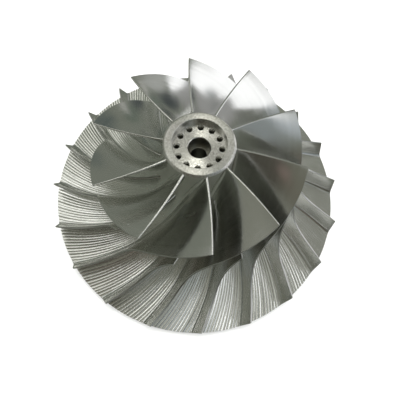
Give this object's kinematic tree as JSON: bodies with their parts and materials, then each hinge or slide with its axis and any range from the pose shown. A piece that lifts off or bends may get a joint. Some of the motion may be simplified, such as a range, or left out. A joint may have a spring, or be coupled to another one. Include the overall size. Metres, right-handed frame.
{
  "type": "centrifugal impeller",
  "caption": "Open radial impeller: curved full blades and shorter splitter blades on a dished hub, with a recessed nose, a ring of holes and a stepped bore.",
  "frame": {"origin": "centre of the flat boss on the back of the disc, which is the lowest face", "axes": "+Z along the shaft axis towards the nose and the inlet; +X and +Y across it"},
  "size_m": [0.35, 0.35, 0.1259],
  "materials": {
    "turned_aluminium": "satin turned nose and back, ball-milled grooves on the flow floor",
    "milled_aluminium": "smooth milled, nearly mirror bright"
  },
  "bodies": {
    "root": {"hub": "turned_aluminium", "main_blade_01": "milled_aluminium", "main_blade_02": "milled_aluminium", "main_blade_03": "milled_aluminium", "main_blade_04": "milled_aluminium", "main_blade_05": "milled_aluminium", "main_blade_06": "milled_aluminium", "main_blade_07": "milled_aluminium", "main_blade_08": "milled_aluminium", "main_blade_09": "milled_aluminium", "main_blade_10": "milled_aluminium", "splitter_blade_01": "milled_aluminium", "splitter_blade_02": "milled_aluminium", "splitter_blade_03": "milled_aluminium", "splitter_blade_04": "milled_aluminium", "splitter_blade_05": "milled_aluminium", "splitter_blade_06": "milled_aluminium", "splitter_blade_07": "milled_aluminium", "splitter_blade_08": "milled_aluminium", "splitter_blade_09": "milled_aluminium", "splitter_blade_10": "milled_aluminium"}
  },
  "joints": []
}
